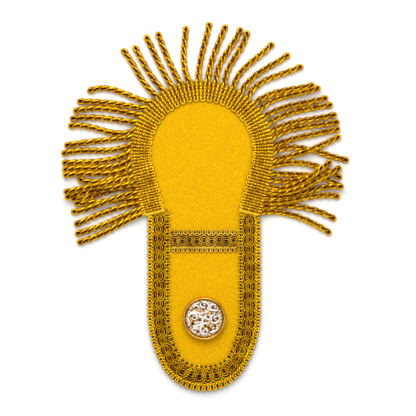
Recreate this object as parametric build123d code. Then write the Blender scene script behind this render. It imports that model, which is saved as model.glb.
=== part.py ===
"""Fringed shoulder epaulette: a felt pad edged with gimp braid, a bullion fringe and a pierced button.

Millimetres, +Z up. The pad lies flat, face up. The origin is on its underside, on the strap's axis.
+Y runs to the fringed head, -Y to the arched tail, and the strap is symmetrical about X = 0.
"""
from build123d import *

import os
from collections import namedtuple
from math import atan2, cos, degrees, hypot, pi, radians, sin, sqrt

os.makedirs("parts", exist_ok=True)

# Felt pad
felt_thickness = 2.5
felt_inset = 1.6            # the trimmings overhang the edge of the felt by this much

# Strap and its arched tail, to the outer edge of the braid
strap_half_width = 30.5
tail_start = -56.3          # where the straight sides end, along Y
tail_rise = 42.8
tail_tip_radius = 26.0

# Head, to the inner edge of the heading
head_x = -1.3
head_y = 29.4
head_radius = 26.75
neck_taper = 15.0           # degrees that each leg of the heading leans in towards the neck
neck_y = -1.9               # where the heading's inner edge ends

# Woven heading of the fringe
heading_width = 10.4
heading_end_width = 11.5    # at the neck, where it spreads to meet the strap's braid
heading_thickness = 2.0
heading_shoulder = 0.7      # the slope at the heading's long edges
rib_depth = 0.55            # from a ply's crest to the valley beside it
hairpin_depth = 1.3         # how far the loops at the inner edge stand past the gaps between them

# Twisted cords of the fringe
cord_diameter = 3.2
cord_root_share = 0.78      # a cord leaves the heading this much of its full diameter
cord_seat_depth = 1.2       # how far a cord's root reaches into the heading
cord_steps = 33             # places worked out along each cord
cord_sides = 6
cord_pull = 0.38            # how far a cord keeps its direction at each end, as a share of its reach
cord_neighbours = 10        # the most cords that one cord may lie across, to either side
fringe_reach = 40.0         # the length that the table below gives as 1
cord_crowding = 0.04        # how far the cords bunch towards the neck, as a share of the whole heading
cord_drift = 0.009          # how far those at the top sit towards the left, as such a share
drop_run = 10.0             # over this length a cord comes down to the table
pile_slope = 0.4            # the steepest rise of a cord that climbs over another

# Gimp braid
braid_width = 12.7
braid_spread = 2.4          # how much wider the braid lies at the tip of the tail
wave_spread = 1.2           # how much further its waves swing there
spread_run = 32.0           # the spread fades out over this length on each side of the tip
braid_base_thickness = 1.0
braid_relief = 1.0          # height of the interlaced cords over the base
picot_pitch = 3.25
picot_gather = 9.0          # the inner picots are evenly spaced along a line this far in
picot_depth = 2.2           # how far the picot loops stand out of the base
wave_reach = 2.2            # from the braid's centre to the middle of a wave's double cord
wave_width = 1.6            # width of the double cord
wave_shift = 2.04           # how far inward the waves' centre line moves where the braid is widest
circle_pitch = 5.0          # distance between crossings on the edge braid
cross_picot_pitch = 2.6
cross_circle_pitch = 3.95
cross_braid_y = -18.4       # centre line of the braid over the neck

# Button
button_y = -59.6
button_diameter = 23.0
button_foot_diameter = 17.0
button_height = 6.0
button_flare_height = 3.0   # where the flared wall turns upright
rim_width = 1.2
rim_slope = 0.36            # the rim's outer edge falls this far in over half its width
cup_depth = 1.9             # from the rim down to the cup's floor
groove_width = 0.5          # between the rim and the pierced disc
disc_thickness = 0.7
scroll_height = 0.9         # how far the scrolls stand over the disc
scroll_width = 0.8
bud_diameter = 1.2          # the round end of a scroll
disc_edge_width = 0.4       # the plain ring round the disc
leaf_count = 30             # short slanted leaves round the disc's edge
leaf_length = 1.7
leaf_width = 0.4
leaf_inset = 0.57           # from the plain ring to the middle of a leaf
leaf_slant = 50             # degrees from pointing at the centre
post_diameter = 4.0
post_clearance = 0.2

# Fits
seat_gap = 0.05             # what is sewn or set on a face stays this far off it
butt_gap = 0.15             # between the ends of two braids

# One row for each cord, from the neck's left side over the top to its right side.
# reach: straight distance from seat to tip, as a share of fringe_reach.
# lean: degrees of that line from square to the heading, positive to the left as seen going outward.
# leave and finish: degrees of the cord's own direction from that line, at its seat and at its tip.
# layer: the order in which the cords were laid, so a higher one lies over a lower one.
Cord = namedtuple("Cord", "reach lean leave finish layer")
cords = [
    Cord(0.98, 9, -3, -9, 1),
    Cord(0.97, 6, 0, -6, 0),
    Cord(0.95, 3, -9, 6, 2),
    Cord(0.89, -10, 3, 0, 0),
    Cord(0.95, 1, -12, -9, 4),
    Cord(0.91, -5, -15, -9, 1),
    Cord(0.98, -2, 6, 9, 2),
    Cord(0.98, -2, 3, 0, 3),
    Cord(0.77, -6, 15, -27, 0),
    Cord(0.95, -1, 27, 3, 1),
    Cord(0.95, 5, 27, 3, 0),
    Cord(0.95, 10, 21, -6, 0),
    Cord(0.96, 14, 18, 9, 0),
    Cord(0.93, 19, 0, 3, 0),
    Cord(0.90, 15, 30, 15, 0),
    Cord(0.91, 21, -3, 12, 0),
    Cord(0.92, 27, -9, 18, 0),
    Cord(0.93, 31, -6, 6, 0),
    Cord(0.87, 34, 0, 36, 0),
    Cord(0.80, -2, 18, 3, 0),
    Cord(0.75, 2, 12, -6, 0),
    Cord(0.79, 3, 6, 0, 0),
    Cord(0.77, 7, 6, -3, 0),
    Cord(0.76, -6, 24, -6, 0),
    Cord(0.81, -13, 12, 0, 0),
    Cord(0.80, -13, 12, -3, 0),
    Cord(0.81, -12, 27, 3, 0),
    Cord(0.79, -3, 24, 12, 0),
    Cord(0.82, -14, 30, 0, 0),
    Cord(0.84, -17, 24, -3, 0),
    Cord(0.86, -18, 36, -3, 0),
    Cord(0.86, -24, 24, -3, 0),
    Cord(0.88, -14, 27, 3, 0),
    Cord(0.91, -11, 18, 0, 0),
    Cord(0.93, -5, 18, -6, 0),
    Cord(0.94, -1, 15, 0, 0),
    Cord(0.95, 5, 21, 0, 0),
    Cord(0.95, 11, 9, 0, 0),
    Cord(1.03, -3, 36, -6, 0),
    Cord(0.99, 27, -9, 9, 1),
    Cord(0.97, 4, 27, -24, 0),
    Cord(1.01, 4, 6, -24, 0),
    Cord(0.89, 31, -27, 33, 3),
    Cord(0.80, 33, -42, 24, 4),
    Cord(1.07, 32, -33, 9, 5),
    Cord(1.07, 22, -18, -12, 2),
    Cord(1.04, 19, -12, -15, 3),
    Cord(1.02, 6, 15, -21, 1),
    Cord(1.00, -1, 24, -15, 0),
]

# One rib of the heading, from one cord to the next: the place along it, how far below the crest as a
# share of rib_depth, and how far the inner edge draws back as a share of hairpin_depth.
Rib = namedtuple("Rib", "place drop draw")
ribs = [Rib(0.00, 1, 0), Rib(0.25, 0, 0.25), Rib(0.50, 1, 1), Rib(0.75, 0, 0.25)]

# Sections of a cord: the place as a share of its line, and the girth as a share of its full one.
Section = namedtuple("Section", "place girth")
sections = [
    Section(0.00, cord_root_share), Section(0.18, 0.97), Section(0.42, 1), Section(0.70, 1),
    Section(0.97, 0.95), Section(1.00, 0.55),
]

# One picot of a braid's edge: the place from one loop to the next, and how far in as a share of
# picot_depth.
Notch = namedtuple("Notch", "place depth")
notches = [Notch(0.12, 1), Notch(0.22, 0), Notch(0.72, 0), Notch(0.82, 1)]

# The braid's two waves from one crossing to the next: the place, and how far out they have swung as
# a share of wave_reach. They leave an eye open between them.
Swing = namedtuple("Swing", "place share")
swings = [Swing(0, 0), Swing(0.3, 1), Swing(0.7, 1)]
eye_start = 0.24

# Scrolls of the button's disc: where each one's first arc is centred and its radius, as shares of
# the disc's radius, the angle at which it starts, how far it turns in all, and its hand.
Scroll = namedtuple("Scroll", "x y size start turn hand")
scrolls = [
    Scroll(-0.03, 0.62, 0.27, -60, 560, 1),
    Scroll(0.60, -0.04, 0.25, 150, 560, -1),
    Scroll(0.10, -0.58, 0.28, 100, 560, 1),
    Scroll(-0.62, 0.06, 0.24, -20, 540, -1),
    Scroll(0.45, 0.54, 0.17, -120, 430, -1),
    Scroll(-0.42, -0.52, 0.18, 60, 430, -1),
    Scroll(0.52, -0.50, 0.16, 120, 430, 1),
    Scroll(-0.46, 0.52, 0.16, -60, 430, 1),
    Scroll(0.22, 0.08, 0.16, 200, 360, 1),
    Scroll(-0.18, -0.15, 0.18, 20, 400, 1),
    Scroll(-0.14, 0.26, 0.15, -90, 400, -1),
    Scroll(0.22, -0.22, 0.14, 90, 400, -1),
]
scroll_turn_shrink = 0.66   # each half turn of a scroll is this much of the one before

# Holes pierced through the disc between the scrolls, as shares of the disc's radius.
Hole = namedtuple("Hole", "x y size")
holes = [
    Hole(-0.45, 0.56, 0.06), Hole(-0.28, 0.50, 0.07), Hole(-0.05, 0.47, 0.05), Hole(0.12, 0.68, 0.06),
    Hole(-0.12, 0.78, 0.05), Hole(0.46, 0.58, 0.06), Hole(0.66, 0.27, 0.07), Hole(0.41, 0.27, 0.05),
    Hole(0.03, 0.22, 0.06), Hole(0.23, 0.08, 0.07), Hole(0.02, -0.14, 0.05), Hole(-0.25, -0.10, 0.06),
    Hole(-0.68, 0.12, 0.06), Hole(-0.53, 0.02, 0.05), Hole(-0.62, -0.28, 0.07), Hole(-0.70, -0.42, 0.05),
    Hole(0.53, -0.10, 0.05), Hole(0.74, -0.04, 0.06), Hole(0.06, -0.38, 0.06), Hole(-0.06, -0.56, 0.05),
    Hole(0.08, -0.74, 0.05), Hole(-0.33, -0.72, 0.06), Hole(0.60, -0.42, 0.06), Hole(0.38, -0.60, 0.05),
]

felt_top = felt_thickness + seat_gap
heading_top = felt_top + heading_thickness
cord_radius = cord_diameter / 2
cord_count = len(cords)


class Route:
    """A plane line of straight legs and arcs, each given as (length, turn in degrees)."""

    def __init__(self, start, bearing, legs):
        self.start, self.bearing, self.legs = start, bearing, legs
        self.length = sum(length for length, turn in legs)

    def at(self, s):
        """The place and bearing after the distance s. The line runs on straight past its ends."""
        x, y = self.start
        bearing = radians(self.bearing)
        if s < 0:
            return x + s * cos(bearing), y + s * sin(bearing), bearing
        for length, turn in self.legs:
            step = min(s, length)
            bend = radians(turn) / length
            if turn:
                x += (sin(bearing + bend * step) - sin(bearing)) / bend
                y += (cos(bearing) - cos(bearing + bend * step)) / bend
                bearing += bend * step
            else:
                x += step * cos(bearing)
                y += step * sin(bearing)
            s -= step
            if s <= 0:
                break
        return x + s * cos(bearing), y + s * sin(bearing), bearing

    def beside(self, s, left):
        """The point that lies a distance to the left of the line at s."""
        x, y, bearing = self.at(s)
        return x - left * sin(bearing), y + left * cos(bearing)

    def marks(self, pitch, left=0):
        """Places evenly spaced along the line that lies to the left, whole steps from end to end."""
        spans = [(length, length - radians(turn) * left) for length, turn in self.legs]
        total = sum(span for length, span in spans)
        count = max(1, round(total / pitch))
        places = []
        for i in range(count + 1):
            target, s = i * total / count, 0
            for length, span in spans:
                step = min(target, span)
                s += length * step / span
                target -= step
            places.append(s)
        return places


def heading_route():
    """The heading's outer edge, from the neck's left side over the top to its right side."""
    taper = radians(neck_taper)
    outer_radius = head_radius + heading_width
    leg = (head_y - head_radius * sin(taper) - neck_y) / cos(taper)
    start_x = head_x - outer_radius * cos(taper) + leg * sin(taper)
    start_y = head_y - outer_radius * sin(taper) - leg * cos(taper)
    sweep = 180 + 2 * neck_taper
    legs = [(leg, 0), (radians(sweep) * outer_radius, -sweep), (leg, 0)]
    return Route((start_x, start_y), 90 + neck_taper, legs)


def strap_route(left_top, right_top):
    """The outer edge of the strap, from its left side down round the tail and up its right side."""
    half, rise, tip = strap_half_width, tail_rise, tail_tip_radius
    flank = (half ** 2 + rise ** 2 - 2 * rise * tip) / (2 * (half - tip))
    bend = degrees(atan2(rise - tip, flank - half))
    flank_arc = (radians(bend) * flank, bend)
    tip_arc = (radians(180 - 2 * bend) * tip, 180 - 2 * bend)
    left_side, right_side = (left_top - tail_start, 0), (right_top - tail_start, 0)
    return Route((-half, left_top), -90, [left_side, flank_arc, tip_arc, flank_arc, right_side])


def solid_from_rings(rings):
    """A closed solid with flat faces through rings of points, each ring with as many points."""
    faces = []
    for first, second in zip(rings, rings[1:]):
        for i in range(len(first)):
            j = (i + 1) % len(first)
            faces.append(flat_face(first[i], first[j], second[j]))
            faces.append(flat_face(first[i], second[j], second[i]))
    for ring in (rings[0], rings[-1]):
        for i in range(1, len(ring) - 1):
            faces.append(flat_face(ring[0], ring[i], ring[i + 1]))
    solid = Solid(Shell(faces))
    return solid if solid.volume > 0 else Solid(Shell([-face for face in faces]))


def flat_face(*points):
    return Face(Wire.make_polygon(points))


def prism(outline, bottom, height, holes=()):
    """An upright solid on a plane outline, with straight holes."""
    face = Face(Wire.make_polygon(outline), [Wire.make_polygon(hole) for hole in holes])
    return Pos(0, 0, bottom) * extrude(face, height, dir=(0, 0, 1))


def heading_flare(s, total, leg):
    """How far the heading's outer edge has spread at s, growing along each leg towards the neck."""
    return (heading_end_width - heading_width) * max(0, 1 - min(s, total - s) / leg)


def heading_solid(route):
    """The woven band: a crest over each ply and loops along the inner edge, between the cords."""
    places = [(i + rib.place, rib) for i in range(cord_count) for rib in ribs]
    places.append((cord_count, ribs[0]))
    rings = []
    for place, rib in places:
        s = seat_share(place / cord_count) * route.length
        outer = heading_flare(s, route.length, route.legs[0][0])
        inner = rib.draw * hairpin_depth - heading_width
        height = heading_top - rib.drop * rib_depth
        rings.append([
            (*route.beside(s, outer), felt_top),
            (*route.beside(s, outer), height - heading_shoulder),
            (*route.beside(s, outer - heading_shoulder), height),
            (*route.beside(s, inner + heading_shoulder), height),
            (*route.beside(s, inner), height - heading_shoulder),
            (*route.beside(s, inner), felt_top),
        ])
    return solid_from_rings(rings)


def seat_share(u):
    """Where along the heading the share u of all the cords has been set: they bunch at the neck."""
    return u - cord_crowding * sin(2 * pi * u) - cord_drift * sin(pi * u)


def cord_plan(index, route):
    """The points of one cord seen from above, evenly spread from its root in the heading to its tip."""
    cord = cords[index]
    s = seat_share((index + 0.5) / cord_count) * route.length
    flare = heading_flare(s, route.length, route.legs[0][0])
    bearing = route.at(s)[2]
    x, y = route.beside(s, flare)
    reach = cord.reach * fringe_reach
    chord = bearing + pi / 2 + radians(cord.lean)
    leave, finish = chord + radians(cord.leave), chord + radians(cord.finish)
    pull = cord_pull * reach
    end = (x + reach * cos(chord), y + reach * sin(chord))
    knots = [
        (x, y),
        (x + pull * cos(leave), y + pull * sin(leave)),
        (end[0] - pull * cos(finish), end[1] - pull * sin(finish)),
        end,
    ]
    line = [route.beside(s, flare - cord_seat_depth)]
    for i in range(cord_steps):
        t = i / (cord_steps - 1)
        weights = ((1 - t) ** 3, 3 * t * (1 - t) ** 2, 3 * t * t * (1 - t), t ** 3)
        line.append(tuple(sum(w * knot[axis] for w, knot in zip(weights, knots)) for axis in (0, 1)))
    return line


def lay_cords(plans):
    """The height of each cord's centre at each of its points: on the table, or over what it crosses."""
    seat_height = felt_top + cord_root_share * cord_radius
    heights = {}
    order = sorted(range(len(plans)), key=lambda i: (cords[i].layer, i))
    for index in order:
        line = plans[index]
        run = [0]
        for a, b in zip(line, line[1:]):
            run.append(run[-1] + hypot(b[0] - a[0], b[1] - a[1]))
        floor = []
        for point, along in zip(line, run):
            fall = min(1, along / drop_run)
            drop = seat_height + (cord_radius - seat_height) * fall * fall * (3 - 2 * fall)
            floor.append(max(drop, pile_height(point, index, plans, heights, along)))
        heights[index] = [
            max(height - pile_slope * abs(along - there) for height, there in zip(floor, run))
            for along in run
        ]
        heights[index][0] = seat_height
    return heights


def pile_height(point, index, plans, heights, along):
    """How high a cord's centre has to be at a point, to lie over the neighbours laid before it."""
    needed = cord_radius
    spacing = cord_diameter * (cord_root_share + (1 - cord_root_share) * min(1, along / drop_run))
    for other in heights:
        if abs(other - index) > cord_neighbours:
            continue
        for a, b, low, high in zip(plans[other], plans[other][1:], heights[other], heights[other][1:]):
            span = (b[0] - a[0], b[1] - a[1])
            t = ((point[0] - a[0]) * span[0] + (point[1] - a[1]) * span[1]) / (span[0] ** 2 + span[1] ** 2)
            t = min(1, max(0, t))
            away = hypot(a[0] + t * span[0] - point[0], a[1] + t * span[1] - point[1])
            if away < spacing:
                needed = max(needed, low + t * (high - low) + sqrt(spacing ** 2 - away ** 2))
    return needed


def cord_solid(line, heights):
    """One cord's outer form, a faceted tube that starts inside the heading and ends rounded."""
    rings = []
    for section in sections:
        here = round(section.place * cord_steps)
        before, after = line[max(0, here - 1)], line[min(cord_steps, here + 1)]
        bearing = atan2(after[1] - before[1], after[0] - before[0])
        radius = section.girth * cord_radius
        ring = []
        for k in range(cord_sides):
            angle = 2 * pi * k / cord_sides
            side, up = radius * cos(angle), radius * sin(angle)
            x = line[here][0] - side * sin(bearing)
            y = line[here][1] + side * cos(bearing)
            ring.append((x, y, heights[here] + up))
        rings.append(ring)
    return solid_from_rings(rings)


def make_fringe():
    """The heading with all its cords, one solid."""
    route = heading_route()
    plans = [cord_plan(i, route) for i in range(cord_count)]
    heights = lay_cords(plans)
    tubes = [cord_solid(plans[i], heights[i]) for i in range(cord_count)]
    return heading_solid(route).fuse(*tubes)


def band_solid(route, pitch, circle, gather=0, slant=0, spread=lambda s: 0):
    """A length of gimp braid: picot loops along both edges, and a chain of circles on the base.

    The route is the braid's outer edge and the braid lies to its left. The inner edge starts and
    ends beyond the outer one by the slant. The spread says how far the braid has opened at s.
    """
    outer = [(s, 0, picot_depth) for s in route.marks(pitch)]
    stretch = 1 + 2 * slant / route.length
    inner = [
        (s * stretch - slant, braid_width + braid_spread * spread(s), -picot_depth)
        for s in route.marks(pitch, gather)
    ]
    tape = picot_edge(route, outer) + picot_edge(route, inner)[::-1]
    middle = braid_width / 2
    edges = {1: [], -1: []}
    holes = []
    crossings = route.marks(circle, middle)
    for start, end in zip(crossings, crossings[1:]):
        opened = spread((start + end) / 2)
        centre = middle + wave_shift * opened
        reach = wave_reach + wave_spread * opened
        for swing in swings:
            s = start + swing.place * (end - start)
            for side in (1, -1):
                offset = centre + side * (swing.share * reach + wave_width / 2)
                edges[side].append(route.beside(s, offset))
        gap = reach - wave_width / 2
        eye = ((eye_start, 0), (0.5, gap), (1 - eye_start, 0), (0.5, -gap))
        holes.append([route.beside(start + place * (end - start), centre + off) for place, off in eye])
    for side in (1, -1):
        edges[side].append(route.beside(crossings[-1], middle + side * wave_width / 2))
    base = braid_base_thickness
    chain = prism(edges[-1] + edges[1][::-1], felt_top + base / 2, base / 2 + braid_relief, holes)
    return prism(tape, felt_top, base).fuse(chain)


def picot_edge(route, marks):
    """The points of one edge of the braid: a square-shouldered loop between each mark and the next."""
    points = []
    for (start, left, depth), (end, _, _) in zip(marks, marks[1:]):
        for notch in notches:
            points.append(route.beside(start + notch.place * (end - start), left + notch.depth * depth))
    return points


def braid_route():
    """The strap's outer edge, between tops that are cut parallel to the ends of the heading."""
    heading = heading_route()
    total, leg = heading.length, heading.legs[0][0]
    slope = sin(radians(neck_taper)) / cos(radians(neck_taper))
    tops = []
    for s in (0, total):
        x, y = heading.beside(s, heading_flare(s, total, leg))
        tops.append(y - butt_gap - slope * (strap_half_width - abs(x)))
    return strap_route(*tops), slope * braid_width


def make_edge_braid():
    """The braid round the strap, which lies wider round the tip of the tail."""
    route, slant = braid_route()
    tip = route.legs[0][0] + route.legs[1][0] + route.legs[2][0] / 2

    def spread(s):
        return cos(pi / 2 * min(1, abs(s - tip) / spread_run)) ** 2

    return band_solid(route, picot_pitch, circle_pitch, picot_gather, slant, spread)


def make_cross_braid():
    """The short braid over the neck, between the two arms of the edge braid."""
    half = strap_half_width - braid_width - butt_gap
    route = Route((-half, cross_braid_y - braid_width / 2), 0, [(2 * half, 0)])
    return band_solid(route, cross_picot_pitch, cross_circle_pitch)


def make_felt_body():
    """The keyhole-shaped pad: the head and its legs joined to the strap, with a hole for the post."""
    heading = heading_route()
    leg, sweep = heading.legs[0][0], heading.legs[1][0]
    corners = (0, leg, leg + sweep / 2, leg + sweep, heading.length)
    head_line = [heading.beside(s, -felt_inset) for s in corners]
    head_wire = Wire([
        Line(head_line[0], head_line[1]),
        ThreePointArc(head_line[1], head_line[2], head_line[3]),
        Line(head_line[3], head_line[4]),
        Line(head_line[4], head_line[0]),
    ])
    strap_top = head_line[0][1] + heading_width
    strap = strap_route(strap_top, strap_top)
    side, flank, tip = (strap.legs[i][0] for i in range(3))
    places = [0, side, side + flank / 2, side + flank, side + flank + tip / 2]
    places += [strap.length - place for place in reversed(places[:-1])]
    line = [strap.beside(s, felt_inset) for s in places]
    strap_wire = Wire([
        Line(line[0], line[1]),
        ThreePointArc(line[1], line[2], line[3]),
        ThreePointArc(line[3], line[4], line[5]),
        ThreePointArc(line[5], line[6], line[7]),
        Line(line[7], line[8]),
        Line(line[8], line[0]),
    ])
    pad = extrude(Face(head_wire), felt_thickness, dir=(0, 0, 1))
    pad = pad.fuse(extrude(Face(strap_wire), felt_thickness, dir=(0, 0, 1)))
    hole_radius = post_diameter / 2 + post_clearance
    return pad - Pos(0, button_y, felt_thickness / 2) * Cylinder(hole_radius, 2 * felt_thickness)


def make_button_case():
    """The gilt cup, turned about its axis: a foot, a flared wall, a rim and the cup's floor."""
    foot, outer = button_foot_diameter / 2, button_diameter / 2
    inner = outer - rim_width
    top = felt_top + button_height
    floor = top - cup_depth
    section = Polyline(
        (0, felt_top), (foot, felt_top), (outer, felt_top + button_flare_height),
        (outer, top - rim_width / 2), (outer - rim_slope, top), (inner, top), (inner, floor), (0, floor),
        close=True,
    )
    cup = revolve(Plane.XZ * make_face(section), Axis.Z)
    return Pos(0, button_y, 0) * cup


def make_button_post():
    """The hidden shank that passes through the felt, flush with its underside."""
    height = felt_top - seat_gap - seat_gap
    return Pos(0, button_y, seat_gap + height / 2) * Cylinder(post_diameter / 2, height)


def scroll_pieces(scroll, radius):
    """One scroll seen from above: half circles that shrink turn by turn, ending in a round bud."""
    size = scroll.size * radius
    centre = (scroll.x * radius, scroll.y * radius)
    angle, left = scroll.start, scroll.turn
    pieces = []
    while left > 0:
        sweep = min(180, left)
        pieces.append(trace(CenterArc(centre, size, angle, scroll.hand * sweep), scroll_width))
        angle += scroll.hand * sweep
        left -= sweep
        shift = size * (1 - scroll_turn_shrink)
        end = (centre[0] + size * cos(radians(angle)), centre[1] + size * sin(radians(angle)))
        centre = (centre[0] + shift * cos(radians(angle)), centre[1] + shift * sin(radians(angle)))
        size *= scroll_turn_shrink
    return pieces + [Pos(*end) * Circle(bud_diameter / 2)]


def make_button_filigree():
    """The silvered disc: a plate pierced between the scrolls, which stand on it, with leaves round it."""
    radius = button_diameter / 2 - rim_width - groove_width
    plate = Circle(radius)
    for hole in holes:
        plate -= Pos(hole.x * radius, hole.y * radius) * Circle(hole.size * radius)
    relief = Circle(radius) - Circle(radius - disc_edge_width)
    for scroll in scrolls:
        relief += scroll_pieces(scroll, radius)
    leaf = SlotOverall(leaf_length, leaf_width)
    leaf_ring = radius - disc_edge_width - leaf_inset
    for i in range(leaf_count):
        angle = 360 * i / leaf_count
        relief += Rot(0, 0, angle) * Pos(leaf_ring, 0) * Rot(0, 0, leaf_slant) * leaf
    base = felt_top + button_height - cup_depth + seat_gap
    disc = extrude(plate, disc_thickness) + Pos(0, 0, disc_thickness / 2) * extrude(
        relief, disc_thickness / 2 + scroll_height
    )
    return Pos(0, button_y, base) * disc


parts = {
    "felt_body": make_felt_body(),
    "fringe": make_fringe(),
    "edge_braid": make_edge_braid(),
    "cross_braid": make_cross_braid(),
    "button_case": make_button_case(),
    "button_filigree": make_button_filigree(),
    "button_post": make_button_post(),
}
for name, part in parts.items():
    export_step(part, f"parts/{name}.step")
    print(name, round(part.volume), "cubic mm")
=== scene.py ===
"""A fringed shoulder epaulette lying face up on a pale floor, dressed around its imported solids.

Shapes are worked out in millimetres and turned to metres where a mesh is made. The origin is on the
felt's underside, +Y runs to the fringed head and -Y to the arched tail.
"""
from collections import namedtuple
from math import atan2, ceil, cos, degrees, pi, radians, sin

import bpy
import numpy as np
from mathutils import Matrix, Vector


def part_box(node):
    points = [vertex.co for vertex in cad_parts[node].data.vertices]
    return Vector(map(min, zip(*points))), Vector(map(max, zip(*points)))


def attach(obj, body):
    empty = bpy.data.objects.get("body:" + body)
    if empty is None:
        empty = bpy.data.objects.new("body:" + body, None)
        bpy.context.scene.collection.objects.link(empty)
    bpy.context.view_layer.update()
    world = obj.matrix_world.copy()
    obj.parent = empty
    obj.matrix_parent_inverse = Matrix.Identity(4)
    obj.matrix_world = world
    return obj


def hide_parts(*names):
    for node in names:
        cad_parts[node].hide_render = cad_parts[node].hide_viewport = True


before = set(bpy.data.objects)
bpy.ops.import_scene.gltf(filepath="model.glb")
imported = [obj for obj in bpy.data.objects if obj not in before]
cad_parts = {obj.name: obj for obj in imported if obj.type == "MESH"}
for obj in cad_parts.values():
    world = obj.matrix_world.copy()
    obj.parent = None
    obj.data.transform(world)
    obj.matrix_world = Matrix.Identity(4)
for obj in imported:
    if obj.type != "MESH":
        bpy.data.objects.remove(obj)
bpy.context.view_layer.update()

MM = 0.001
UP = np.array([0.0, 0.0, 1.0])
band_scale = 2 * pi / 20    # of a wave texture with one band for each unit of its map

# Felt pad
felt_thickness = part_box("felt_body")[1].z / MM
felt_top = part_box("edge_braid")[0].z / MM
felt_inset = 1.6            # of its edge from the outer edge of what is sewn over it
felt_edge_round = 0.5
felt_ripple = 0.10          # of its upper side, which isn't quite flat
felt_girth = 120.0          # about the way round it, across the strap
post_hole_radius = 2.2      # of the hole in it under the button

# Strap, head and heading, as in the solids
strap_half_width = 30.5
tail_start = -56.3
tail_rise = 42.8
tail_tip_radius = 26.0
head_x = -1.3
head_y = 29.4
head_radius = 26.75
neck_taper = 15.0
neck_y = -1.9
heading_width = 10.4
heading_end_width = 11.5
butt_gap = 0.15

# Woven heading
strand_radius = 0.69
strand_fullness = 0.47      # of a strand where they lie further apart, as a share of their spacing
strand_depth = 0.8          # from a strand's middle down to the line that its crest is measured from
strand_bead = 0.3           # how far a strand swells between two rows of warp threads
strand_step = 0.3           # between its points
loop_radius = 0.54          # of the yarn where it turns back at the inner edge
loop_flare = 0.15           # how far such a loop opens, in cords
loop_reach = 1.1            # from the end of the strands to the top of such a loop
warp_rows = 6
warp_pitch = 1.78
warp_radius = 0.21
warp_lift = 0.72            # by which a thread rises over a strand, and dips between two
warp_steps = 14             # points of a thread in each cord's width
end_yarns = [(-0.15, 1.45, 0.46), (0.42, 0.95, 0.36)]  # over a cut end: how far out, height, radius
heading_tape_thickness = 0.28
first_warp = 0.35           # from the heading's outer edge
yarn_step = 0.5             # between the points of the fringe's one long yarn
unplied = (1, 0, 0, 0)      # oval, plied share and furrow of a yarn that lies by itself

# Twisted cords
cord_diameter = 3.2
cord_root_share = 0.78      # of its radius, which is how high a cord's middle lies at its seat
cord_seat_depth = 1.2       # by which it starts inside the heading's outer edge
fringe_reach = 40.0
cord_crowding = 0.04        # of the seats towards the neck
cord_drift = 0.009          # of the seats towards the neck's left side
cord_steps = 33             # along a cord, where the height of its pile is worked out
cord_points = 140           # along a cord, where its plies are laid
cord_pull = 0.38            # of a curve's inner knots from its ends, as a share of its reach
cord_neighbours = 10        # on either side, over which a cord can lie
cord_lift = 0.22            # of the twisted cord over its middle line, to keep its plies off the floor
drop_run = 10.0             # over this length a cord comes down from the heading to the floor
pile_slope = 0.4            # at most, of a cord that climbs over another
ply_radius = 1.0
ply_width = 1.14            # of a ply pressed flat against the other, as a share of its depth
ply_swing = 0.75            # from the cord's middle line to that of a ply
ply_lay = 9.0               # length of one full turn of the two plies
ply_join = 2.4              # over this length two strands of the heading come together as a cord
ply_growth = 2.5            # over this length a strand grows to the size of a ply
ply_lobes = 4               # the strands of a ply
lobe_depth = 0.07           # of the grooves between them, as a share of the ply's radius
lobe_shade = 0.16           # painted shade: how far the crest falls in these grooves
lobe_lay = 14.0             # length of one full turn of the strands in a ply
groove_start = 0.6          # where round a ply the groove against the other one sets in, as a sine
groove_spread = 0.75        # from there to its full depth
groove_shade = 0.22         # painted shade: how far the crest falls in it
groove_top_shade = 0.26     # painted shade: how much further on the upper side
furrow_depth = 0.10         # of the furrow between a ply's two halves, as a share of its radius
furrow_shade = 0.58         # painted shade: how far the crest falls in it
furrow_lead = 0.3           # of the halves' turn before the ply's own, in radians on top of the cord
furrow_turn = 1.22          # turns of the halves against the ply's own, so that they lie along the cord
furrow_edge = 0.34          # where it has faded at the cord's sides, as a cosine from the top
furrow_fade = 0.4           # from there to its full depth
twist_run = 1.8             # over this length the plies' turn sets in, at either end
twist_start = 0.6           # by which it has set in at the seat
tip_run = 2.4               # over this length a ply loses its twist towards the loop at a cord's tip
tip_spread = 2.6            # over this length the two plies move apart there
tip_loop = 0.88             # half the width of that loop, to the middle of the yarn
tip_trim = 1.0              # from the cord's end back to where the loop starts
tip_sink = 0.16             # of a tip that lies on the floor
tip_plied = 0.45            # share in which the loop takes a plied yarn's painted shade
tip_droop = 0.12            # of the loop, as a share of its length

# Gimp braid
braid_width = 12.7
braid_spread = 2.4          # by which it is wider round the tail
spread_run = 32.0           # over this length along the edge, to either side of the tail's tip
picot_pitch = 3.25
picot_gather = 9.0          # of the inner loops' line from the outer one, where they are counted
outer_picot_yarn = 0.58     # radius of the yarn of the outer loops
inner_picot_yarn = 0.36
header_left = 2.6           # from the outer edge to the row that holds the outer loops
header_spread = 1.1         # by which that row lies further in round the tail
footer_left = 2.5           # from the inner edge to the row that holds the inner loops
picot_height = 0.75         # of the loops' yarn over the felt
header_height = 1.1
footer_height = 0.55
braid_tape_thickness = 0.32
wave_reach = 1.85           # of the middle one of a wave's three yarns
wave_spread = 0.65          # by which the waves reach further round the tail
wave_shift = 2.04           # by which their middle lies further in there
wave_lane = 1.36            # between neighbouring yarns of a wave, where it turns
wave_yarn = 0.40            # their radius
wave_huddle = 0.64          # of that spacing, where the yarns of a wave cross from side to side
wave_sink = 0.3             # by which the innermost yarn of a turn lies deeper
wave_shade = 0.14           # painted shade: by which its crest falls there
wave_steps = 26             # points of a yarn from one crossing to the next
core_share = 0.44           # reach of the chain's inner yarns, as a share of the waves'
circle_pitch = 5.0          # between the crossings of the two waves
cross_picot_pitch = 2.6
cross_circle_pitch = 3.95
cross_braid_y = -18.4

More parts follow.
